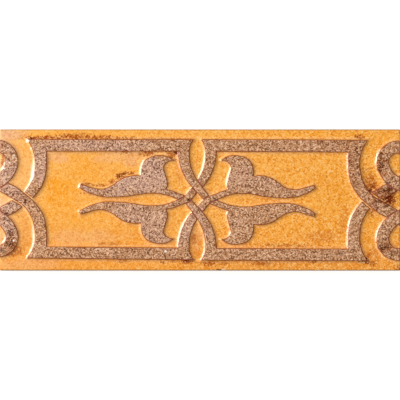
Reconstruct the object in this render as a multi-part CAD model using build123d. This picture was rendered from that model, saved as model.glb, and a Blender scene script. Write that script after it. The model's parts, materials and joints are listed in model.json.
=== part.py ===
"""Border tile with a raised interlace of bands, loops and half-palmette leaves, fired as one piece.

Frame: the tile lies on its back. X runs along the border, Y across it, Z up out of the decorated face.
The origin is the middle of the back. All sizes are in millimetres.
"""

from build123d import *

import os
from math import cos, radians, sin

# Tile body
tile_length = 200.0
tile_width = 70.5
body_thickness = 8.0
edge_radius = 0.8

# Raised work: flat tops at one height, sloping walls that run on a little below the ground, and a straight
# root, deeper by its clearance than the rounding of the tile's edges
relief_height = 1.0
wall_run = 1.3
wall_overrun = 0.2
root_clearance = 0.6

# Keying on the back: shallow cells between ribs
key_columns = 11
key_rows = 4
key_rib = 2.5
key_rim = 6.0
key_depth = 0.7
key_draft = 0.4

# Middle of the ornament, measured from the middle of the tile
ornament_shift_x = -1.3
ornament_shift_y = 0.15

# Straight bands that frame the two panels
border_margin = 5.5
band_width = 5.4

# Middle knot: how far its crossings stand from its middle
knot_reach_x = 5.7
knot_reach_y = 6.3

# Grooves where a strand passes under another: their width at the top, and how far the cut end leans in
groove_width = 0.7
end_groove_width = 1.1
groove_lean = 0.25
groove_span = 1.4

# End knots, half on this tile and half on its neighbour
end_crossing_x = 13.5
end_strand_width = 4.7
loop_radius = 7.7
loop_width = 5.5
loop_drop = 0.35
loop_crossing_y = 8.5

# Leaves, from the middle knot to their tips
leaf_reach = 58.5
leaf_clearance = 2.5

ground = body_thickness
crest = body_thickness + relief_height
root_depth = edge_radius + root_clearance
slope = wall_run / relief_height
half_panel = tile_width / 2 - border_margin
band_centre = half_panel - band_width / 2
leaf_height = half_panel - band_width - leaf_clearance
loop_centre = half_panel - loop_drop - loop_width / 2 - loop_radius

# Limb of the middle knot, from the band down to its first crossing.
# Each station: distance from the knot's axis, share of the panel's half height, width.
MIDDLE_LIMB = [
    (6.3, 1.0, 8.2),
    (6.75, 0.84, 5.1),
    (6.7, 0.74, 4.85),
    (6.05, 0.59, 4.55),
    (4.6, 0.447, 4.2),
    (2.1, 0.301, 3.7),
]

# The same strand between its two crossings, as shares of the knot's reach
KNOT_TURN = [(0.0, 1.0, 3.2), (-0.49, 0.49, 3.0), (-1.0, 0.0, 2.7)]

# Stem and blade of a leaf. Each station: shares of the leaf's reach and height, width.
STEM_AND_BLADE = [
    (0.145, 0.055, 2.4),
    (0.190, 0.105, 2.3),
    (0.240, 0.155, 2.3),
    (0.295, 0.195, 2.4),
    (0.355, 0.245, 3.8),
    (0.425, 0.308, 6.6),
    (0.496, 0.340, 8.9),
    (0.560, 0.328, 9.4),
    (0.628, 0.282, 8.6),
    (0.718, 0.200, 5.7),
    (0.800, 0.171, 3.9),
    (0.872, 0.200, 2.9),
    (0.940, 0.266, 2.3),
    (0.995, 0.332, 1.3),
]

# Lobe of a leaf, both sides of its hooked tip, as shares of the leaf's reach and height
LOBE_INNER = [
    (0.310, 0.205),
    (0.260, 0.320),
    (0.264, 0.458),
    (0.282, 0.618),
    (0.290, 0.762),
    (0.269, 0.849),
    (0.209, 0.892),
]
LOBE_OUTER = [
    (0.209, 0.892),
    (0.246, 0.963),
    (0.303, 1.0),
    (0.376, 0.979),
    (0.435, 0.906),
    (0.465, 0.785),
    (0.475, 0.650),
    (0.474, 0.526),
    (0.462, 0.366),
]

# Limb of an end knot, from the band to its crossing, stations as for the middle knot
END_LIMB = [
    (19.7, 1.0, 8.4),
    (21.5, 0.834, 6.2),
    (22.0, 0.672, 5.4),
    (21.9, 0.538, 5.3),
    (20.9, 0.353, 5.3),
    (18.4, 0.182, 4.9),
    (15.9, 0.074, 4.7),
]

# The same strand beyond the crossing, as shares of the distances to the crossing and to the loop
END_TAIL = [(0.76, 0.27, 5.2), (0.53, 0.51, 5.4), (0.29, 0.71, 5.3), (0.0, 1.0, 5.3), (-0.27, 1.28, 5.3)]

# A loop, from its top round to its foot: angles, then shares of its radius and of its crossing's distance
LOOP_ANGLES = [114, 90, 67, 44, 20, -6, -31]
LOOP_FOOT = [(0.46, 1.28), (0.0, 1.0), (-0.5, 0.72)]


def grown(runs, distance):
    """Moves the points of a closed outline outwards; the outline is a list of runs, each a curve or a line."""
    points = [point for run in runs for point in run[:-1]]
    count = len(points)
    area = 0
    for (x0, y0), (x1, y1) in zip(points, points[1:] + points[:1]):
        area += x0 * y1 - x1 * y0
    turn = 1 if area > 0 else -1
    moved = []
    for i in range(count):
        here = Vector(*points[i])
        before = (here - Vector(*points[i - 1])).normalized()
        after = (Vector(*points[(i + 1) % count]) - here).normalized()
        out_before = Vector(before.Y, -before.X) * turn
        out_after = Vector(after.Y, -after.X) * turn
        out = (out_before + out_after).normalized()
        place = here + out * (distance / max(out.dot(out_after), 0.6))
        moved.append((place.X, place.Y))
    shifted, start = [], 0
    for run in runs:
        steps = len(run) - 1
        shifted.append([moved[(start + k) % count] for k in range(steps + 1)])
        start += steps
    return shifted


def outline(runs, height):
    edges = []
    for run in runs:
        points = [(x, y, height) for x, y in run]
        edges.append(Line(*points) if len(points) == 2 else Spline(*points))
    return Wire(edges)


def ridge(runs):
    """Flat-topped raised work with sloping walls, rooted in the body."""
    foot = grown(runs, wall_run + slope * wall_overrun)
    root = [outline(foot, ground - root_depth), outline(foot, ground - wall_overrun)]
    return Solid.make_loft([*root, outline(runs, crest)], True)


def pass_under(lower, upper_runs, x, y, upper_width, groove):
    """Stops a strand short on both sides of the one that crosses over it at x and y."""
    drop = relief_height + root_depth
    low = grown(upper_runs, groove * (1 - groove_lean * drop / relief_height))
    high = grown(upper_runs, groove)
    trench = Solid.make_loft([outline(low, crest - drop), outline(high, crest)], True)
    window = Pos(x, y, crest - drop / 2) * Cylinder(groove_span * upper_width, drop)
    return lower - (trench & window)


def strand(stations, level_start=True):
    """The outline of a band along its stations (x, y, width); a level start runs along the panel's edge."""
    line = Spline(*[(x, y) for x, y, width in stations])
    left, right = [], []
    for i, (x, y, width) in enumerate(stations):
        along = line.tangent_at(line.param_at_point((x, y)))
        if i == 0 and level_start:
            along = Vector(0, along.Y).normalized()
        left.append((x - along.Y * width / 2, y + along.X * width / 2))
        right.append((x + along.Y * width / 2, y - along.X * width / 2))
    right.reverse()
    return [left, [left[-1], right[0]], right, [right[-1], left[0]]]


def middle_strand(side_x, side_y):
    """From the band on one side, through the middle knot, to the tip of the leaf on the other side."""
    stations = [(x, share * half_panel, width) for x, share, width in MIDDLE_LIMB]
    stations += [(x * knot_reach_x, y * knot_reach_y, width) for x, y, width in KNOT_TURN]
    stations += [(-x * leaf_reach, -y * leaf_height, width) for x, y, width in STEM_AND_BLADE]
    return strand(
        [(ornament_shift_x + side_x * x, ornament_shift_y + side_y * y, width) for x, y, width in stations]
    )


def leaf_lobe(side_x, side_y):
    runs = []
    for share_run in (LOBE_INNER, LOBE_OUTER):
        runs.append(
            [
                (ornament_shift_x + side_x * x * leaf_reach, ornament_shift_y + side_y * y * leaf_height)
                for x, y in share_run
            ]
        )
    runs.append([runs[1][-1], runs[0][0]])
    return runs


def at_end(stations, end, side):
    """Moves stations from an end knot's own axis to the tile's end, mirrored to suit it."""
    axis = ornament_shift_x + end * tile_length / 2
    return [(axis - end * x, ornament_shift_y + side * y, width) for x, y, width in stations]


def end_strand(end, side):
    """From the band, over the end knot's crossing, towards the loop on the other side."""
    stations = [(x, share * half_panel, width) for x, share, width in END_LIMB]
    stations.append((end_crossing_x, 0, end_strand_width))
    stations += [(x * end_crossing_x, -y * loop_crossing_y, width) for x, y, width in END_TAIL]
    return strand(at_end(stations, end, side))


def end_loop(end, side):
    stations = []
    for angle in LOOP_ANGLES:
        x, y = loop_radius * cos(radians(angle)), loop_radius * sin(radians(angle))
        stations.append((x, loop_centre + y, loop_width))
    stations += [(x * loop_radius, y * loop_crossing_y, loop_width) for x, y in LOOP_FOOT]
    return strand(at_end(stations, end, side), level_start=False)


def straight_band(end, side):
    """From a limb of the middle knot to a limb of an end knot, along a long edge."""
    x0 = ornament_shift_x + end * MIDDLE_LIMB[0][0]
    x1 = ornament_shift_x + end * (tile_length / 2 - END_LIMB[0][0])
    y0 = ornament_shift_y + side * (band_centre - band_width / 2)
    y1 = ornament_shift_y + side * (band_centre + band_width / 2)
    corners = [(x0, y0), (x1, y0), (x1, y1), (x0, y1)]
    return [[corners[i], corners[(i + 1) % 4]] for i in range(4)]


def relief():
    sides = [(1, 1), (-1, 1), (-1, -1), (1, -1)]
    parts = [ridge(straight_band(*side)) for side in sides]
    parts += [ridge(leaf_lobe(*side)) for side in sides]

    # In the middle knot each strand passes over the next one, turn by turn
    middle = {side: middle_strand(*side) for side in sides}
    crossings = [
        ((-1, 1), (1, 1), 0, knot_reach_y),
        ((1, 1), (1, -1), -knot_reach_x, 0),
        ((1, -1), (-1, -1), 0, -knot_reach_y),
        ((-1, -1), (-1, 1), knot_reach_x, 0),
    ]
    knot_width = KNOT_TURN[0][2]
    for upper, lower, x, y in crossings:
        x, y = ornament_shift_x + x, ornament_shift_y + y
        parts.append(pass_under(ridge(middle[lower]), middle[upper], x, y, knot_width, groove_width))

    # At each end one strand passes over the other, and the loops pass over both
    for end, upper_side in ((-1, -1), (1, 1)):
        axis = ornament_shift_x + end * tile_length / 2
        x = axis - end * end_crossing_x
        upper = end_strand(end, upper_side)
        lower = ridge(end_strand(end, -upper_side))
        lower = pass_under(lower, upper, x, ornament_shift_y, end_strand_width, end_groove_width)
        for strand_ridge, side in ((ridge(upper), -upper_side), (lower, upper_side)):
            loop = end_loop(end, side)
            y = ornament_shift_y + side * loop_crossing_y
            parts.append(pass_under(strand_ridge, loop, axis, y, loop_width, groove_width))
            parts.append(ridge(loop))
    return parts


def blank(height):
    """A block of the tile's outline with its upper edges rounded."""
    block = Box(tile_length, tile_width, height, align=(Align.CENTER, Align.CENTER, Align.MIN))
    return fillet(block.edges().group_by(Axis.Z)[-1], edge_radius)


def key_cells():
    """The shallow cells that the back is keyed with."""
    cell_x = (tile_length - 2 * key_rim - (key_columns - 1) * key_rib) / key_columns
    cell_y = (tile_width - 2 * key_rim - (key_rows - 1) * key_rib) / key_rows
    cells = []
    for place in GridLocations(cell_x + key_rib, cell_y + key_rib, key_columns, key_rows):
        mouth = Wire.make_rect(cell_x, cell_y).moved(place)
        floor = Wire.make_rect(cell_x - 2 * key_draft, cell_y - 2 * key_draft)
        floor = floor.moved(place * Pos(0, 0, key_depth))
        cells.append(Solid.make_loft([mouth, floor], True))
    return cells


def border_tile():
    ornament = Part() + relief()
    ornament &= blank(crest)
    tile = blank(body_thickness) + ornament
    return tile - key_cells()


os.makedirs("parts", exist_ok=True)
export_step(border_tile(), "parts/border_tile.step")
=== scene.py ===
"""Looks of the glazed border tile: one soft-edged ceramic piece, its glazes and the light it lies under.

Blender works in metres. Sizes below are in millimetres where a name ends in _MM, and so are all the
positions that the materials read.
"""

import json
import math
from collections import namedtuple

import bpy
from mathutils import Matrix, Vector

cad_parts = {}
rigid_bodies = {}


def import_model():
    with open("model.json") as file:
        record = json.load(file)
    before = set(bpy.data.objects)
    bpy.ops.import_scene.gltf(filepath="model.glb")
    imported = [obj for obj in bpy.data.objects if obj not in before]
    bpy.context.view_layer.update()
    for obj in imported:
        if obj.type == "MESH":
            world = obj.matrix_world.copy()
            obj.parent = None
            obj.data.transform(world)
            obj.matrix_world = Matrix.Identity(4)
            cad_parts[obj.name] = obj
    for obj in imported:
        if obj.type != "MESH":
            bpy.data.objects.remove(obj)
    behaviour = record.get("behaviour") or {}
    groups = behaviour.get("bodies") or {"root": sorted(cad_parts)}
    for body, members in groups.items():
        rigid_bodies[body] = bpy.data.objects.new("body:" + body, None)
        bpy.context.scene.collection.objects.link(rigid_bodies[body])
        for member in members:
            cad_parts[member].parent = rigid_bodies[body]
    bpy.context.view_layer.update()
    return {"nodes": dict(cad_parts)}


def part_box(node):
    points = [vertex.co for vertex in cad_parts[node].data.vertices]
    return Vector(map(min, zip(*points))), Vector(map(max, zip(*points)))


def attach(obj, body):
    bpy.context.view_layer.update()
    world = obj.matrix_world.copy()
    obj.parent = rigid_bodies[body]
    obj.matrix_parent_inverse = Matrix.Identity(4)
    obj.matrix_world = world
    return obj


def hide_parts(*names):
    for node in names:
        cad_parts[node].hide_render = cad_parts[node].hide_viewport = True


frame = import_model()

MM = 0.001
TILE_LOW, TILE_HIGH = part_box("border_tile")
CREST_MM = TILE_HIGH.z / MM
RELIEF_MM = 1.0
GROUND_MM = CREST_MM - RELIEF_MM
HALF_LENGTH_MM = TILE_HIGH.x / MM
HALF_WIDTH_MM = TILE_HIGH.y / MM

# The photograph's frame, and where the tile's middle lies in it
PHOTO_PX = 400
PX_PER_MM = PHOTO_PX / (2 * HALF_LENGTH_MM)
PHOTO_MIDDLE_Y_PX = 199.9


def at_px(x, y):
    """A place on the tile, in millimetres, from where the photograph shows it."""
    return (x - PHOTO_PX / 2) / PX_PER_MM, (PHOTO_MIDDLE_Y_PX - y) / PX_PER_MM


def srgb(red, green, blue):
    """A colour as it looks on screen, 0 to 255, turned into the linear one that shaders take."""
    linear = []
    for value in (red, green, blue):
        value /= 255
        linear.append(value / 12.92 if value <= 0.04045 else ((value + 0.055) / 1.055) ** 2.4)
    return (*linear, 1.0)


# Wiring of nodes

class Bench:
    """A node tree that is being wired: each call lays down one node and plugs in what feeds it."""

    def __init__(self, tree):
        self.tree = tree

    def node(self, kind, feeds=None, **settings):
        made = self.tree.nodes.new(kind)
        for name, value in settings.items():
            setattr(made, name, value)
        for name, value in (feeds or {}).items():
            self.plug(made.inputs[name], value)
        return made

    def plug(self, socket, value):
        if isinstance(value, bpy.types.NodeSocket):
            self.tree.links.new(value, socket)
        else:
            socket.default_value = value

    def math(self, operation, first, second=0.0, third=0.0):
        made = self.node("ShaderNodeMath", {0: first, 1: second, 2: third}, operation=operation)
        return made.outputs[0]

    def vector(self, operation, first, second=(0, 0, 0)):
        made = self.node("ShaderNodeVectorMath", {0: first, 1: second}, operation=operation)
        return made.outputs["Value" if operation in ("LENGTH", "DOT_PRODUCT") else "Vector"]

    def ramp(self, value, low, high, start=0.0, end=1.0):
        """Rises smoothly from start to end while value goes from low to high."""
        feeds = {"Value": value, "From Min": low, "From Max": high, "To Min": start, "To Max": end}
        return self.node("ShaderNodeMapRange", feeds, interpolation_type="SMOOTHSTEP").outputs["Result"]

    def blend(self, share, first, second):
        """A colour between two: the first where share is 0, the second where it is 1."""
        made = self.node("ShaderNodeMix", data_type="RGBA")
        for name, value in (("Factor_Float", share), ("A_Color", first), ("B_Color", second)):
            self.plug(next(s for s in made.inputs if s.identifier == name), value)
        return next(s for s in made.outputs if s.identifier == "Result_Color")

    def noise(self, position, size, detail=2.0, roughness=0.5):
        """Cloudy noise about size millimetres across, around 0.5."""
        feeds = {"Vector": position, "Scale": 1.0 / size, "Detail": detail, "Roughness": roughness}
        return self.node("ShaderNodeTexNoise", feeds).outputs["Fac"]

    def group(self, name, feeds):
        made = self.node("ShaderNodeGroup", node_tree=bpy.data.node_groups[name])
        for key, value in feeds.items():
            self.plug(made.inputs[key], value)
        return made.outputs


def new_group(name, inputs, outputs):
    """An empty node group with named sockets, and the bench to wire it on."""
    tree = bpy.data.node_groups.new(name, "ShaderNodeTree")
    for label, kind, value in inputs:
        socket = tree.interface.new_socket(label, in_out="INPUT", socket_type=kind)
        socket.default_value = value
    for label, kind in outputs:
        tree.interface.new_socket(label, in_out="OUTPUT", socket_type=kind)
    bench = Bench(tree)
    return bench, bench.node("NodeGroupInput").outputs, bench.node("NodeGroupOutput").inputs


FLOAT, VECTOR = "NodeSocketFloat", "NodeSocketVector"


def make_fired_grain():
    """Grain of a fired surface: cells of random tone with softer clouds in between."""
    bench, given, out = new_group(
        "fired_grain",
        [("Position", VECTOR, (0, 0, 0)), ("Size", FLOAT, 0.6)],
        [("Cells", FLOAT), ("Clouds", FLOAT)],
    )
    scale = bench.math("DIVIDE", 1.0, given["Size"])
    feeds = {"Vector": given["Position"], "Scale": scale, "Detail": 1.0}
    wobble = bench.node("ShaderNodeTexNoise", feeds).outputs["Color"]
    shift = bench.vector("SCALE", bench.vector("SUBTRACT", wobble, (0.5, 0.5, 0.5)))
    shift.node.inputs["Scale"].default_value = 0.9
    place = bench.vector("ADD", given["Position"], shift)
    cells = bench.node("ShaderNodeTexVoronoi", {"Vector": place, "Scale": scale})
    tone = bench.node("ShaderNodeSeparateColor", {"Color": cells.outputs["Color"]}).outputs["Red"]
    clouds = bench.node(
        "ShaderNodeTexNoise",
        {"Vector": given["Position"], "Scale": bench.math("MULTIPLY", scale, 0.45), "Detail": 3.0},
    )
    bench.plug(out["Cells"], tone)
    bench.plug(out["Clouds"], bench.ramp(clouds.outputs["Fac"], 0.3, 0.7))


def make_ragged_patch():
    """A patch with a frayed outline: 1 inside it, 0 outside."""
    bench, given, out = new_group(
        "ragged_patch",
        [
            ("Position", VECTOR, (0, 0, 0)),
            ("Centre", VECTOR, (0, 0, 0)),
            ("Reach", VECTOR, (1, 1, 1)),
            ("Fray", FLOAT, 0.8),
            ("Grain", FLOAT, 1.5),
        ],
        [("Mask", FLOAT)],
    )
    away = bench.vector("SUBTRACT", given["Position"], given["Centre"])
    away = bench.vector("DIVIDE", away, given["Reach"])
    away = bench.vector("MULTIPLY", away, (1, 1, 0))
    distance = bench.vector("LENGTH", away)
    scale = bench.math("DIVIDE", 1.0, given["Grain"])
    feeds = {"Vector": given["Position"], "Scale": scale, "Detail": 3.0}
    frayed = bench.node("ShaderNodeTexNoise", feeds).outputs["Fac"]
    frayed = bench.math("MULTIPLY", bench.math("SUBTRACT", frayed, 0.5), given["Fray"])
    distance = bench.math("MULTIPLY_ADD", frayed, 4.0, distance)
    bench.plug(out["Mask"], bench.ramp(distance, 1.1, 0.35))


make_fired_grain()
make_ragged_patch()


def object_position(bench):
    """Where a surface point lies on the tile, in millimetres."""
    place = bench.node("ShaderNodeTexCoord").outputs["Object"]
    scaled = bench.node("ShaderNodeMapping", {"Vector": place, "Scale": (1 / MM, 1 / MM, 1 / MM)})
    return scaled.outputs["Vector"]


# Glaze of the front

# Where it lies thick, a lead glaze bends light more than window glass does
GLAZE_IOR = 2.1
GLAZE_ROUGHNESS = 0.3
THIN_GLAZE_IOR = 1.12

FINE_GRAIN_MM = 0.46
COARSE_GRAIN_MM = 0.8

# Heights over the back where the tone of the raised work, the brown line beside it, the thick glaze on
# the slopes and the bare clay of the sides begin, and where each shows in full
RAISED_FROM_MM, RAISED_FULL_MM = CREST_MM - 0.09, CREST_MM - 0.03
EDGE_FROM_MM, EDGE_FULL_MM = CREST_MM - 0.36, CREST_MM - 0.24
POOL_FROM_MM, POOL_FULL_MM = GROUND_MM + 0.03, GROUND_MM + 0.2
BARE_FROM_MM, BARE_FULL_MM = 5.4, 4.9

# The same for the dull rim along the long edges, as distances from the tile's middle line
RIM_FROM_MM, RIM_FULL_MM = HALF_WIDTH_MM - 0.75, HALF_WIDTH_MM - 0.25

GLAZE_LEFT = srgb(248, 185, 114)
GLAZE_MIDDLE = srgb(248, 171, 66)
GLAZE_RIGHT = srgb(250, 166, 42)
GLAZE_LOW = srgb(240, 148, 36)
GLAZE_PALE = srgb(252, 200, 122)
GLAZE_DEEP = srgb(208, 112, 18)
GLAZE_CREAM = srgb(232, 176, 136)
GLAZE_GOLD = srgb(248, 160, 20)
RELIEF_TONE = srgb(187, 130, 86)
RELIEF_PINK = srgb(199, 155, 136)
RELIEF_LIGHT = srgb(248, 204, 168)
RELIEF_DARK = srgb(98, 54, 28)
RELIEF_DUSK = srgb(182, 98, 32)
EDGE_BROWN = srgb(138, 54, 0)
RIM_BROWN = srgb(150, 116, 74)
RUST = srgb(158, 64, 2)
RED_BROWN = srgb(108, 30, 0)
DARK_SPECK_AND_SHADE_TONE = srgb(80, 32, 2)
WHITE_SPOT_AND_HIGHLIGHT = srgb(255, 244, 226)
BISCUIT = srgb(214, 176, 146)
BISCUIT_DARK = srgb(176, 132, 104)


# Marks of the firing and of wear, each where the photograph shows it: its middle, its reach to each
# side of that along and across the tile, all in pixels of the photograph, and how strongly it shows.
# A few of the white marks are painted highlights and a few of the dark ones painted shade, as noted at
# each
Mark = namedtuple("Mark", "x y along across strength")

PALE_ZONES = {
    "left end, upper corner": Mark(8, 134, 20, 7, 0.75),
    "hole of the upper left loop": Mark(1, 165, 7, 11, 0.3),
    "left end, middle": Mark(2, 206, 9, 13, 0.6),
    "hole of the lower left loop": Mark(1, 240, 6, 9, 0.4),
    "beside the upper left leaf": Mark(131, 160, 15, 10, 0.45),
    "corner of the left panel": Mark(60, 158, 12, 7, 0.45),
    "between the lower middle strands": Mark(197, 238, 7, 16, 0.3),
    "left panel, low": Mark(84, 236, 52, 9, 0.3),
    "left panel, high": Mark(112, 158, 30, 6, 0.35),
    "lower margin, left end": Mark(30, 264, 50, 6, 0.25),
}
GOLD_ZONES = {
    "left panel, beside the strand": Mark(60, 192, 18, 22, 1.0),
    "left panel, over the leaf": Mark(86, 170, 20, 14, 0.6),
    "left panel, under the leaf": Mark(84, 216, 24, 10, 0.5),
    "right panel, dot": Mark(293.5, 168, 3, 3, 0.6),
    "right panel, over the leaf": Mark(300, 180, 26, 10, 0.35),
    "right panel, low": Mark(300, 222, 28, 10, 0.35),
    "upper margin, right": Mark(300, 134, 60, 4, 0.3),
}
DEEP_ZONES = {
    "between the lower middle strands": Mark(197, 243, 7, 18, 0.3),
    "beside the upper middle strand": Mark(181, 172, 7, 14, 0.4),
    "over the middle knot": Mark(207, 191, 6, 6, 0.6),
    "lower margin, right": Mark(300, 266, 110, 5, 0.2),
    "under the lower left loop": Mark(13, 252, 10, 6, 0.7),
    "beside the lower right loop": Mark(372, 254, 9, 11, 0.55),
    "beside the right knot": Mark(371, 180, 6, 10, 0.55),
    "right panel, beside the strand": Mark(343, 220, 6, 18, 0.4),
    "right panel, lower corner": Mark(318, 236, 24, 8, 0.5),
    "left of the right knot": Mark(370, 186, 9, 14, 0.6),
    "between the leaves, left": Mark(120, 200, 26, 3.5, 0.4),
    "between the leaves, right": Mark(262, 200, 30, 3.5, 0.3),
    "beside the left strand": Mark(27, 232, 6, 20, 0.3),
}
PINK_ZONES = {
    "upper left leaf": Mark(134, 177, 60, 26, 0.9),
    "upper left band": Mark(90, 145, 70, 8, 0.6),
    "lower leaves": Mark(160, 224, 90, 26, 0.5),
    "upper left strand": Mark(42, 166, 14, 26, 0.7),
    "left loops": Mark(12, 190, 18, 60, 0.8),
    "upper right leaf": Mark(262, 177, 50, 24, 0.3),
}
DUSKY_ZONES = {
    "upper right strand": Mark(351, 163, 9, 26, 0.4),
    "upper right band, end": Mark(342, 145, 16, 8, 0.35),
    "upper right loop": Mark(381, 163, 6, 16, 0.75),
    "right knot": Mark(380, 193, 16, 12, 0.75),
    "lower right loop": Mark(386, 247, 9, 9, 0.6),
    "lower left loop": Mark(12, 242, 9, 13, 0.5),
    "left knot": Mark(18, 196, 14, 9, 0.35),
    "upper left loop": Mark(12, 158, 7, 16, 0.1),
}
STAINED_ZONES = {
    "right knot": Mark(388.5, 198.5, 8, 7, 0.75),
    "right knot, under it": Mark(377.5, 206, 7, 5, 0.5),
    "right knot, above it": Mark(374, 190, 6, 5, 0.5),
    "lower right band's end": Mark(364, 261, 5, 3, 0.7),
}
RUST_MARKS = {
    "fringe over the upper left band, left": Mark(48, 137.9, 20, 2.0, 1.0),
    "fringe over the upper left band, densest": Mark(74, 137.0, 17, 2.9, 1.0),
    "fringe over the upper left band, middle": Mark(100, 137.9, 18, 2.0, 0.9),
    "fringe over the upper left band, right": Mark(126, 138.4, 13, 1.4, 0.8),
    "thin fringe up to the middle": Mark(160, 138.6, 22, 1.0, 0.6),
    "under the band, left": Mark(126, 152.4, 6, 1.6, 0.7),
    "under the band, over the leaf": Mark(148.5, 153.4, 7, 2.6, 0.9),
    "corner by the upper middle strand": Mark(172, 155.0, 5.5, 5.0, 0.8),
    "upper left leaf's tip": Mark(87, 184.6, 5, 1.6, 0.8),
    "under the upper left leaf's tail": Mark(91, 193.0, 7, 1.3, 0.7),
    "upper left leaf's tail, low": Mark(102, 185.2, 8, 1.2, 0.8),
    "upper left leaf's tail, rising": Mark(114.5, 181.8, 4.5, 2.0, 0.8),
    "upper left leaf's tail, high": Mark(120.5, 176.2, 4.5, 2.8, 1.0),
    "upper left leaf's tail, top": Mark(128, 173.0, 7, 1.4, 0.9),
    "upper right band's end": Mark(359, 137.2, 4.5, 2.0, 0.9),
    "by the right knot, long": Mark(363, 170.5, 1.8, 2.4, 0.7),
    "by the right knot, short": Mark(367.5, 168.9, 2.0, 1.6, 0.7),
    "left of the right knot": Mark(370.0, 184.0, 6.5, 6.5, 0.75),
    "left of the right knot, low": Mark(372, 191.5, 4.0, 3.0, 0.9),
    "left of the right knot, all round": Mark(366, 178.0, 7.0, 9.0, 0.35),
    "right knot, beside the corner": Mark(386, 199.0, 8.0, 6.0, 1.0),
    "under the right knot": Mark(377, 207.5, 6.0, 4.5, 1.0),
    "between the right loops": Mark(371, 214, 4.0, 3.0, 0.5),
    "over the lower left panel's band": Mark(110, 244, 12, 1.6, 0.5),
    "over the lower right panel's band": Mark(286, 245, 24, 1.8, 0.5),
    "lower margin, first": Mark(123, 260.6, 5, 1.8, 0.7),
    "lower margin, second": Mark(163.3, 261.6, 3, 1.6, 0.9),
    "lower margin, third": Mark(172, 260.4, 2.4, 1.2, 0.7),
    "lower margin, fourth": Mark(187, 261.4, 5, 2.2, 1.0),
    "lower margin, fifth": Mark(209, 262.8, 7, 2.2, 0.9),
    "lower margin, sixth": Mark(223, 262.4, 6, 1.8, 0.6),
    "lower margin, seventh": Mark(263, 263.2, 8, 2.4, 0.7),
    "lower margin, eighth": Mark(313, 261.0, 4, 1.8, 0.7),
    "lower margin, ninth": Mark(372, 262.8, 4, 2.0, 0.8),
    "lower right corner": Mark(399, 267.2, 3, 2.4, 1.0),
    "beside the lower right band": Mark(368.4, 255.0, 1.6, 1.6, 0.9),
    "under the lower left loop": Mark(15, 250.0, 8, 4.5, 0.6),
    "hole of the upper left loop": Mark(5.0, 161.0, 3.4, 8.0, 0.7),
    "at the lower middle strand": Mark(194, 238.0, 2.4, 5.0, 0.5),
}
RED_MARKS = {
    "corner of the upper left panel": Mark(176.2, 152.6, 2.2, 1.8, 1.0),
    "over the upper left band, left stroke": Mark(31.6, 138.6, 1.5, 1.0, 1.0),
    "over the upper left band, right stroke": Mark(34.4, 138.0, 1.0, 1.2, 1.0),
    "upper left leaf's tail, by the rise": Mark(120.4, 176.6, 2.0, 1.4, 0.9),
    "upper left leaf's tail, by the top": Mark(124.0, 174.0, 2.4, 1.1, 0.9),
    "right knot, above": Mark(372, 186.0, 2.6, 2.0, 0.7),
    "right knot, left": Mark(370.7, 190.6, 3.2, 1.8, 0.85),
    "right knot, in its corner": Mark(389.0, 199.5, 5.6, 5.0, 1.0),
    "lower right band's end": Mark(363.2, 261.6, 4.4, 1.8, 1.0),
    "lower right band's end, upwards": Mark(366.2, 260.2, 1.8, 2.6, 1.0),
    "lower middle strand's foot": Mark(187.0, 260.6, 3.0, 1.0, 0.8),
}
DARK_SPOTS_AND_SHADE = {
    "upper right loop, large": Mark(381.0, 165.2, 2.6, 2.8, 1.0),
    "upper right loop, under it": Mark(379.3, 169.4, 2.0, 2.0, 0.9),
    "upper right loop, over it": Mark(379.3, 156.8, 1.8, 2.4, 0.7),
    "right knot, upper": Mark(386.4, 190.4, 5.4, 3.0, 0.8),
    "right knot, line": Mark(386.6, 182.8, 3.0, 1.2, 0.9),
    "right knot, lower": Mark(377.7, 200.8, 3.0, 2.0, 0.9),
    "right knot, lowest": Mark(385.9, 206.0, 3.2, 1.8, 0.7),
    "lower right loop, left": Mark(383.0, 247.6, 5.0, 3.4, 0.8),
    "lower right loop, right": Mark(391.0, 252.0, 3.6, 2.0, 0.6),
    "lower right band": Mark(341.0, 253.8, 4.0, 2.0, 0.5),
    "lower right band, dot": Mark(229.6, 258.6, 1.2, 1.0, 1.0),
    "lower left band, dot": Mark(166.5, 258.7, 1.1, 0.8, 1.0),
    "lower left band, left": Mark(117.0, 253.5, 2.6, 2.0, 0.6),
    "lower left band, middle": Mark(148.0, 252.0, 3.0, 2.0, 0.5),
    # Painted shade in the middle knot's two corners, where its strands cross
    "middle knot, painted shade in the left corner": Mark(188.2, 199.8, 2.0, 1.2, 1.0),
    "middle knot, painted shade in the right corner": Mark(215.6, 199.4, 2.2, 1.2, 0.9),
    "left knot, upper dot": Mark(26.0, 201.0, 1.8, 2.2, 0.9),
    "left knot, left dot": Mark(14.0, 194.0, 1.6, 1.4, 0.8),
    "left knot, right dot": Mark(17.9, 192.9, 1.4, 1.4, 0.7),
    # Painted shade in the left knot's lower corner, in the groove at the end of the strand beneath
    "left knot, painted shade in the lower corner": Mark(7.6, 213.4, 2.0, 1.4, 1.0),
    "lower left loop, upper": Mark(11.5, 233.0, 3.4, 3.4, 0.7),
    "lower left loop, lower": Mark(10.6, 243.5, 3.8, 3.4, 0.8),
    "lower left loop, foot": Mark(3.0, 250.6, 3.0, 2.4, 0.8),
    "left panel, dot": Mark(131.0, 230.0, 0.9, 0.8, 0.6),
    "beside the left strand, dot": Mark(19.5, 216.8, 1.0, 0.9, 0.5),
    "chip at the lower edge": Mark(219.3, 269.4, 2.4, 1.1, 1.0),
}
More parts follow.
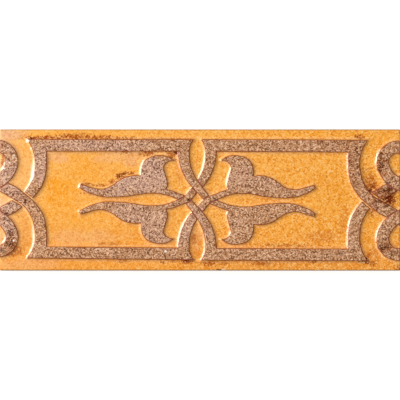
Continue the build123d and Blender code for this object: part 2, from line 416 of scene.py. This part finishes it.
WHITE_SPOTS_AND_HIGHLIGHTS = {
    # The first four are painted highlights, where the window glints on the band's end and on the strands'
    # worn left edges; the rest are white specks
    "upper left band's end, painted highlight": Mark(28.2, 141.0, 1.9, 1.7, 0.9),
    "upper left strand, painted highlight of its worn edge": Mark(32.8, 172.0, 2.0, 9.0, 0.5),
    "lower left strand, painted highlight of its worn edge": Mark(33.2, 233.0, 1.4, 9.0, 0.3),
    "upper left strand, top, painted highlight": Mark(31.6, 148.4, 1.2, 1.5, 0.6),
    "upper left loop, first dot": Mark(14.4, 155.2, 1.1, 1.0, 0.7),
    "upper left loop, second dot": Mark(13.4, 158.0, 1.0, 1.0, 0.6),
    "upper left loop, third dot": Mark(10.3, 162.8, 1.1, 1.1, 0.7),
    "upper left loop, fourth dot": Mark(5.2, 168.6, 1.1, 1.1, 0.6),
    "lower left band, dot": Mark(165.8, 251.0, 1.3, 1.0, 1.0),
    "lower left loop, dot": Mark(14.2, 240.4, 1.0, 1.2, 0.9),
    "beside the chip": Mark(223.4, 269.2, 2.0, 0.9, 0.6),
}


def marked(bench, position, marks, fray, grain, spread=1.0):
    """How strongly marks of one kind show at a place, 0 to 1."""
    strongest = 0.0
    for name, mark in marks.items():
        feeds = {
            "Position": position,
            "Centre": (*at_px(mark.x, mark.y), 0.0),
            "Reach": (mark.along / PX_PER_MM * spread, mark.across / PX_PER_MM * spread, 1.0),
            "Fray": fray,
            "Grain": grain,
        }
        patch = bench.group("ragged_patch", feeds)["Mask"]
        patch.node.label = name
        shown = bench.math("MULTIPLY", patch, mark.strength)
        strongest = bench.math("MAXIMUM", shown, strongest)
    return strongest


def ground_colour(bench, position, x, y, grains):
    """Orange-yellow glaze: paler at the left end, deeper to the right and along the lower edge."""
    drift = bench.math("SUBTRACT", bench.noise(position, 26.0, 3.0), 0.5)
    along = bench.math("MULTIPLY_ADD", drift, 60.0, x)
    ground = bench.blend(bench.ramp(along, -104.0, -70.0), GLAZE_LEFT, GLAZE_MIDDLE)
    ground = bench.blend(bench.ramp(along, -20.0, 90.0), ground, GLAZE_RIGHT)
    down = bench.math("MULTIPLY_ADD", drift, 24.0, y)
    ground = bench.blend(bench.ramp(down, 4.0, -38.0, 0.0, 0.75), ground, GLAZE_LOW)
    ground = bench.blend(marked(bench, position, PALE_ZONES, 0.5, 9.0), ground, GLAZE_CREAM)
    ground = bench.blend(marked(bench, position, GOLD_ZONES, 0.5, 5.0), ground, GLAZE_GOLD)
    ground = bench.blend(marked(bench, position, DEEP_ZONES, 0.5, 5.0), ground, GLAZE_DEEP)
    clouds = bench.noise(position, 4.0, 5.0, 0.65)
    ground = bench.blend(bench.ramp(clouds, 0.5, 0.8, 0.0, 0.35), ground, GLAZE_PALE)

    # Its grain is fainter towards the left end
    lively = bench.ramp(x, -70.0, 50.0, 0.65, 1.0)
    deeper = bench.math("MULTIPLY", bench.ramp(grains, 0.5, 0.1, 0.0, 0.85), lively)
    paler = bench.math("MULTIPLY", bench.ramp(grains, 0.5, 0.92), lively)
    ground = bench.blend(deeper, ground, GLAZE_DEEP)
    return bench.blend(paler, ground, GLAZE_PALE)


def relief_colour(bench, position, speck, grains):
    """Matt speckled tone of the raised work, dusky in places."""
    dusky = marked(bench, position, DUSKY_ZONES, 0.7, 3.0)
    relief = bench.blend(marked(bench, position, PINK_ZONES, 0.5, 9.0), RELIEF_TONE, RELIEF_PINK)
    relief = bench.blend(dusky, relief, RELIEF_DUSK)
    glints = bench.ramp(speck, 0.5, 1.0, 0.0, 0.9)
    glints = bench.math("MULTIPLY", glints, bench.ramp(dusky, 0.0, 1.0, 1.0, 0.4))
    relief = bench.blend(glints, relief, RELIEF_LIGHT)
    relief = bench.blend(bench.ramp(speck, 0.5, 0.0, 0.0, 1.0), relief, RELIEF_DARK)
    mottled = bench.math("MULTIPLY", dusky, bench.ramp(grains, 0.5, 0.3))
    relief = bench.blend(mottled, relief, DARK_SPECK_AND_SHADE_TONE)
    grainy = bench.ramp(grains, 0.95, 0.5)
    stained = bench.math("MULTIPLY", marked(bench, position, STAINED_ZONES, 0.6, 1.6), grainy)
    return bench.blend(stained, relief, RED_BROWN)


def glaze_material():
    """Glaze of the whole tile, and the bare clay low on its sides."""
    material = bpy.data.materials.new("glazed_front")
    material.use_nodes = True
    bench = Bench(material.node_tree)
    shader = material.node_tree.nodes["Principled BSDF"]
    shader.inputs["IOR"].default_value = THIN_GLAZE_IOR
    shader.inputs["Coat IOR"].default_value = GLAZE_IOR
    shader.inputs["Coat Roughness"].default_value = GLAZE_ROUGHNESS
    position = object_position(bench)
    split = bench.node("ShaderNodeSeparateXYZ", {"Vector": position}).outputs
    x, y, height = split["X"], split["Y"], split["Z"]

    fine = bench.group("fired_grain", {"Position": position, "Size": FINE_GRAIN_MM})
    coarse = bench.group("fired_grain", {"Position": position, "Size": COARSE_GRAIN_MM})
    grains = bench.math("MULTIPLY_ADD", fine["Cells"], 0.6, bench.math("MULTIPLY", coarse["Cells"], 0.4))

    # Where the raised work begins
    ragged = bench.math("SUBTRACT", bench.noise(position, 0.9, 2.0), 0.5)
    level = bench.math("MULTIPLY_ADD", ragged, 0.08, height)
    raised = bench.ramp(level, RAISED_FROM_MM, RAISED_FULL_MM)
    low = bench.math("SUBTRACT", 1.0, raised)

    # Rust and red marks lie in the glaze beside the raised work, broken up by its grain
    ground = ground_colour(bench, position, x, y, grains)
    grainy = bench.ramp(grains, 0.85, 0.4, 0.15, 1.0)
    rusty = bench.math("MULTIPLY", marked(bench, position, RUST_MARKS, 0.6, 1.3, 1.5), grainy)
    ground = bench.blend(rusty, ground, RUST)
    grainy = bench.ramp(grains, 0.95, 0.5)
    reddish = bench.math("MULTIPLY", marked(bench, position, RED_MARKS, 0.5, 1.0, 1.4), grainy)
    ground = bench.blend(reddish, ground, RED_BROWN)

    # The brown line where the glaze thins out over the edge
    edge = bench.math("MULTIPLY", bench.ramp(level, EDGE_FROM_MM, EDGE_FULL_MM), low)
    colour = bench.blend(edge, ground, EDGE_BROWN)
    colour = bench.blend(raised, colour, relief_colour(bench, position, fine["Cells"], grains))

    # The glaze is thin and dull along the tile's own outer edges
    outward = bench.math("ABSOLUTE", y)
    rim = bench.ramp(outward, RIM_FROM_MM, RIM_FULL_MM, 0.0, 0.7)
    colour = bench.blend(rim, colour, RIM_BROWN)

    # Dark and white spots lie over everything; some of the white ones are painted highlights and some of
    # the dark ones painted shade
    grainy = bench.ramp(grains, 0.9, 0.5, 0.3, 1.0)
    dark = bench.math("MULTIPLY", marked(bench, position, DARK_SPOTS_AND_SHADE, 0.5, 1.0, 1.3), grainy)
    colour = bench.blend(dark, colour, DARK_SPECK_AND_SHADE_TONE)
    colour = bench.blend(marked(bench, position, WHITE_SPOTS_AND_HIGHLIGHTS, 0.3, 1.0, 1.2), colour, WHITE_SPOT_AND_HIGHLIGHT)

    # Bare clay below the glaze's lower edge on the sides
    run = bench.math("MULTIPLY_ADD", bench.noise(position, 9.0, 3.0), 2.6, height)
    bare = bench.ramp(run, BARE_FROM_MM, BARE_FULL_MM)
    clay = bench.blend(bench.ramp(coarse["Clouds"], 0.0, 1.0), BISCUIT, BISCUIT_DARK)
    colour = bench.blend(bare, colour, clay)
    bench.plug(shader.inputs["Base Color"], colour)

    # The raised work is duller than the ground, and bare clay is dullest
    rough = bench.math("MULTIPLY_ADD", fine["Cells"], 0.1, bench.ramp(raised, 0.0, 1.0, 0.25, 0.5))
    rough = bench.math("MAXIMUM", rough, bench.math("MULTIPLY", bare, 0.85))
    bench.plug(shader.inputs["Roughness"], rough)

    # Pooled glaze lies thick and glossy on the slopes, except where it is stained or thins out
    pooled = bench.ramp(height, POOL_FROM_MM, POOL_FULL_MM, 0.12, 1.0)
    pooled = bench.math("MULTIPLY", pooled, low)
    pooled = bench.math("MULTIPLY", pooled, bench.ramp(bare, 1.0, 0.0))
    pooled = bench.math("MULTIPLY", pooled, bench.ramp(grains, 0.1, 0.6, 0.45, 1.0))
    dulled = bench.math("MAXIMUM", rusty, reddish)
    dulled = bench.math("MAXIMUM", dulled, bench.math("MULTIPLY", edge, 0.55))
    pooled = bench.math("MULTIPLY", pooled, bench.ramp(dulled, 0.0, 1.0, 1.0, 0.1))
    bench.plug(shader.inputs["Coat Weight"], pooled)

    # A fine grit, strongest on the raised work
    grit = bench.math("MULTIPLY", fine["Cells"], bench.ramp(raised, 0.0, 1.0, 0.1, 1.0))
    bump = bench.node("ShaderNodeBump", {"Height": grit, "Strength": 0.3, "Distance": 0.0001})
    bench.plug(shader.inputs["Normal"], bump.outputs["Normal"])
    return material


# The tile's body

VOXEL_MM = 0.24
SOFTENING_STEPS = 8
POOLING_STEPS = 40
SAME_POINT_MM = 0.002
MOST_TRIANGLES = 185000

# The feet of the walls, where the glaze has pooled: how far below the crest they begin, over what height
# they fade in, how far they reach below the ground and how far they stay off the long edges
POOL_TOP_MM = 0.5
POOL_FADE_MM = 0.2
POOL_DEPTH_MM = 0.1
POOL_INSET_MM = 1.6

# The front's faces lie above this depth below the ground. One counts as folded over when its normal rises
# less than the limit, inside the tile or near its edges, and thin slivers are then dissolved around it.
FRONT_DEPTH_MM = 0.3
NEAR_EDGE_MM = 2
FOLDED_INSIDE = 0.3
FOLDED_NEAR_EDGE = -0.2
SLIVER_MM = 0.06
MENDING_ROUNDS = 4

# How far the pressing drew the ornament out of true, in millimetres towards +Y, at five places from the
# left end to the right, along lines across the tile at these distances from its middle
PULLS_MM = {
    29.4: (0.15, 0.0, 0.0, -0.2, -0.4),
    17.6: (0.1, -0.2, 0.0, -0.35, -0.45),
    5.9: (0.1, -0.5, 0.0, -0.85, -0.5),
    0.0: (0.2, 0.15, 0.0, -0.5, -0.4),
    -5.9: (0.3, 0.8, 0.0, -0.3, -0.4),
    -17.6: (0.5, 0.65, 0.0, -0.4, -0.55),
    -23.5: (0.5, 0.5, -0.05, -0.4, -0.6),
    -29.4: (0.9, 0.8, -0.05, -0.4, -0.6),
}
CAGE_COLUMNS, CAGE_ROWS, CAGE_LAYERS = 5, 13, 2
CAGE_ROOM = 1.001

# Unevenness of the outlines, left by the mould and the glaze, which fades out towards the tile's edges
WOBBLE_MM = 0.3
WOBBLE_SIZE_MM = 3.5
WOBBLE_MARGIN_MM = 1.5


def apply_modifier(piece, name, kind, **settings):
    modifier = piece.modifiers.new(name, kind)
    for key, value in settings.items():
        setattr(modifier, key, value)
    bpy.ops.object.modifier_apply(modifier=name)


def mend_folds(piece):
    """Takes out the few slivers on the front that the steps before have folded over."""
    for _ in range(MENDING_ROUNDS):
        bpy.ops.object.mode_set(mode="EDIT")
        bpy.ops.mesh.select_mode(type="FACE")
        bpy.ops.mesh.select_all(action="DESELECT")
        bpy.ops.object.mode_set(mode="OBJECT")
        for face in piece.data.polygons:
            x, y, z = face.center / MM
            inside = abs(x) < HALF_LENGTH_MM - NEAR_EDGE_MM and abs(y) < HALF_WIDTH_MM - NEAR_EDGE_MM
            folded = face.normal.z < (FOLDED_INSIDE if inside else FOLDED_NEAR_EDGE)
            face.select = folded and z > GROUND_MM - FRONT_DEPTH_MM
        bpy.ops.object.mode_set(mode="EDIT")
        bpy.ops.mesh.select_more()
        bpy.ops.mesh.dissolve_degenerate(threshold=SLIVER_MM * MM)
        bpy.ops.object.mode_set(mode="OBJECT")


def pull_at(column, y_mm):
    """The pull on one place of the cage, between the lines that are given."""
    lines = sorted(PULLS_MM)
    for low, high in zip(lines, lines[1:]):
        if low <= y_mm <= high:
            share = (y_mm - low) / (high - low)
            return PULLS_MM[low][column] * (1 - share) + PULLS_MM[high][column] * share
    return 0.0


def pressing_cage():
    """A lattice round the tile. Its inner lines are pulled out of true, its edges stay in place."""
    bpy.ops.object.add(type="LATTICE", location=(TILE_LOW + TILE_HIGH) / 2)
    cage = bpy.context.object
    cage.scale = (TILE_HIGH - TILE_LOW) * CAGE_ROOM
    cage.data.points_u, cage.data.points_v, cage.data.points_w = CAGE_COLUMNS, CAGE_ROWS, CAGE_LAYERS
    for axis in "uvw":
        setattr(cage.data, f"interpolation_type_{axis}", "KEY_CARDINAL")
    for row in range(1, CAGE_ROWS - 1):
        y_mm = HALF_WIDTH_MM * (2 * row / (CAGE_ROWS - 1) - 1)
        for column in range(CAGE_COLUMNS):
            for layer in range(CAGE_LAYERS):
                point = cage.data.points[(layer * CAGE_ROWS + row) * CAGE_COLUMNS + column]
                point.co_deform.y += pull_at(column, y_mm) * MM / cage.scale.y
    return cage


def weigh_feet(piece):
    """A vertex group that holds the feet of the walls and the ground beside them."""
    group = piece.vertex_groups.new(name="feet")
    for vertex in piece.data.vertices:
        height = vertex.co.z / MM
        share = min(1.0, (CREST_MM - POOL_TOP_MM - height) / POOL_FADE_MM)
        inside = abs(vertex.co.y) / MM < HALF_WIDTH_MM - POOL_INSET_MM
        if inside and share > 0 and height > GROUND_MM - POOL_DEPTH_MM:
            group.add([vertex.index], share, "REPLACE")


def weigh_front(piece):
    """A vertex group that holds the decorated face, fading out towards the tile's edges."""
    group = piece.vertex_groups.new(name="front")
    for vertex in piece.data.vertices:
        x, y, z = (abs(v) / MM for v in vertex.co)
        inset = min(HALF_LENGTH_MM - x, HALF_WIDTH_MM - y, z - GROUND_MM + WOBBLE_MARGIN_MM)
        share = min(1.0, inset / WOBBLE_MARGIN_MM)
        if share > 0:
            group.add([vertex.index], share, "REPLACE")


def make_tile():
    """The pressed tile with every edge softened, as a glaze leaves it."""
    bpy.ops.object.select_all(action="DESELECT")
    tile = bpy.data.objects.new("glazed_tile", frame["nodes"]["border_tile"].data.copy())
    bpy.context.scene.collection.objects.link(tile)
    cage = pressing_cage()
    bpy.ops.object.select_all(action="DESELECT")
    tile.select_set(True)
    bpy.context.view_layer.objects.active = tile
    bpy.ops.object.mode_set(mode="EDIT")
    bpy.ops.mesh.select_all(action="SELECT")
    bpy.ops.mesh.remove_doubles(threshold=SAME_POINT_MM * MM)
    bpy.ops.object.mode_set(mode="OBJECT")
    apply_modifier(tile, "clay", "REMESH", mode="VOXEL", voxel_size=VOXEL_MM * MM)
    apply_modifier(tile, "soften", "SMOOTH", factor=0.5, iterations=SOFTENING_STEPS)
    weigh_feet(tile)
    apply_modifier(tile, "pool", "SMOOTH", factor=0.5, iterations=POOLING_STEPS, vertex_group="feet")
    triangles = sum(len(face.vertices) - 2 for face in tile.data.polygons)
    apply_modifier(tile, "thin_out", "DECIMATE", ratio=MOST_TRIANGLES / triangles)
    apply_modifier(tile, "pressing", "LATTICE", object=cage)
    weigh_front(tile)
    for direction, basis in (("X", "ORIGINAL_PERLIN"), ("Y", "IMPROVED_PERLIN")):
        clouds = bpy.data.textures.new("mould_wobble", "CLOUDS")
        clouds.noise_basis = basis
        clouds.noise_scale = WOBBLE_SIZE_MM * MM
        apply_modifier(
            tile, "wobble", "DISPLACE", texture=clouds, texture_coords="LOCAL", direction=direction,
            strength=WOBBLE_MM * MM, mid_level=0.5, vertex_group="front",
        )
    mend_folds(tile)
    bpy.ops.object.shade_smooth()
    bpy.data.objects.remove(cage)
    tile.data.materials.clear()
    tile.data.materials.append(glaze_material())
    return tile


tile = make_tile()
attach(tile, "root")
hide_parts("border_tile")


# Floor, light and camera

FLOOR_SIZE = 6.0
FLOOR_TONE = (0.6, 0.6, 0.59, 1)
FLOOR_GLOW_TONE = (1, 1, 0.98, 1)
FLOOR_GLOW = 0.7


def floor_material():
    """White to the camera, with the tile's own shadow still on it."""
    material = bpy.data.materials.new("white_table")
    material.use_nodes = True
    bench = Bench(material.node_tree)
    shader = material.node_tree.nodes["Principled BSDF"]
    shader.inputs["Base Color"].default_value = FLOOR_TONE
    shader.inputs["Roughness"].default_value = 0.9
    shader.inputs["Emission Color"].default_value = FLOOR_GLOW_TONE
    seen = bench.node("ShaderNodeLightPath").outputs["Is Camera Ray"]
    bench.plug(shader.inputs["Emission Strength"], bench.math("MULTIPLY", seen, FLOOR_GLOW))
    return material


def make_floor():
    bpy.ops.object.select_all(action="DESELECT")
    bpy.ops.mesh.primitive_plane_add(size=FLOOR_SIZE, location=(0, 0, 0))
    floor = bpy.context.object
    floor.name = "table"
    floor.data.materials.append(floor_material())


# The window stands low beyond the tile's upper left, where the sloping walls throw it back to the camera
WINDOW_BEARING = 163.0
WINDOW_HEIGHT = 25.0
WINDOW_AWAY = 1.2
WINDOW_SIZE = (0.75, 0.6)
WINDOW_POWER = 11.5

# The sky brightens upwards between these two heights, and towards the window's side
LOW_SKY, HIGH_SKY = 0.25, 0.75
LOW_SKY_LIGHT, HIGH_SKY_LIGHT = 0.03, 0.96
WINDOW_SIDE = 0.8


def make_light():
    lamp = bpy.data.lights.new("window", "AREA")
    lamp.shape = "RECTANGLE"
    lamp.size, lamp.size_y = WINDOW_SIZE
    lamp.energy = WINDOW_POWER
    window = bpy.data.objects.new("window", lamp)
    bpy.context.scene.collection.objects.link(window)
    bearing, height = math.radians(WINDOW_BEARING), math.radians(WINDOW_HEIGHT)
    level = math.cos(height)
    outward = Vector((math.cos(bearing) * level, math.sin(bearing) * level, math.sin(height)))
    window.location = outward * WINDOW_AWAY
    window.rotation_euler = (-outward).to_track_quat("-Z", "Y").to_euler()


def make_world():
    """A pale sky, dimmer towards the horizon and away from the window, but plain white to the camera."""
    world = bpy.data.worlds.new("daylight")
    bpy.context.scene.world = world
    world.use_nodes = True
    bench = Bench(world.node_tree)
    sky = world.node_tree.nodes["Background"]
    sky.inputs["Color"].default_value = (1, 1, 1, 1)
    direction = bench.node("ShaderNodeTexCoord").outputs["Generated"]
    rise = bench.node("ShaderNodeSeparateXYZ", {"Vector": direction}).outputs["Z"]
    light = bench.ramp(rise, LOW_SKY, HIGH_SKY, LOW_SKY_LIGHT, HIGH_SKY_LIGHT)
    bearing = math.radians(WINDOW_BEARING)
    towards = bench.vector("DOT_PRODUCT", direction, (math.cos(bearing), math.sin(bearing), 0.0))
    light = bench.math("MULTIPLY", light, bench.math("MULTIPLY_ADD", towards, WINDOW_SIDE, 1.0))
    camera_ray = bench.node("ShaderNodeLightPath").outputs["Is Camera Ray"]
    seen = bench.math("MAXIMUM", light, camera_ray)
    bench.plug(sky.inputs["Strength"], seen)


# The frame ends just inside the tile's ends, so that no table shows past them
FRAMED_SHARE = 0.997


def make_camera():
    lens = 250.0
    sensor = 36.0
    framed = 2 * HALF_LENGTH_MM * FRAMED_SHARE
    camera_data = bpy.data.cameras.new("above")
    camera_data.lens = lens
    camera_data.sensor_width = sensor
    camera = bpy.data.objects.new("above", camera_data)
    bpy.context.scene.collection.objects.link(camera)
    camera.location = (0, 0, (framed * lens / sensor + GROUND_MM) * MM)
    bpy.context.scene.camera = camera


make_floor()
make_light()
make_world()
make_camera()
bpy.context.scene.view_settings.view_transform = "Standard"
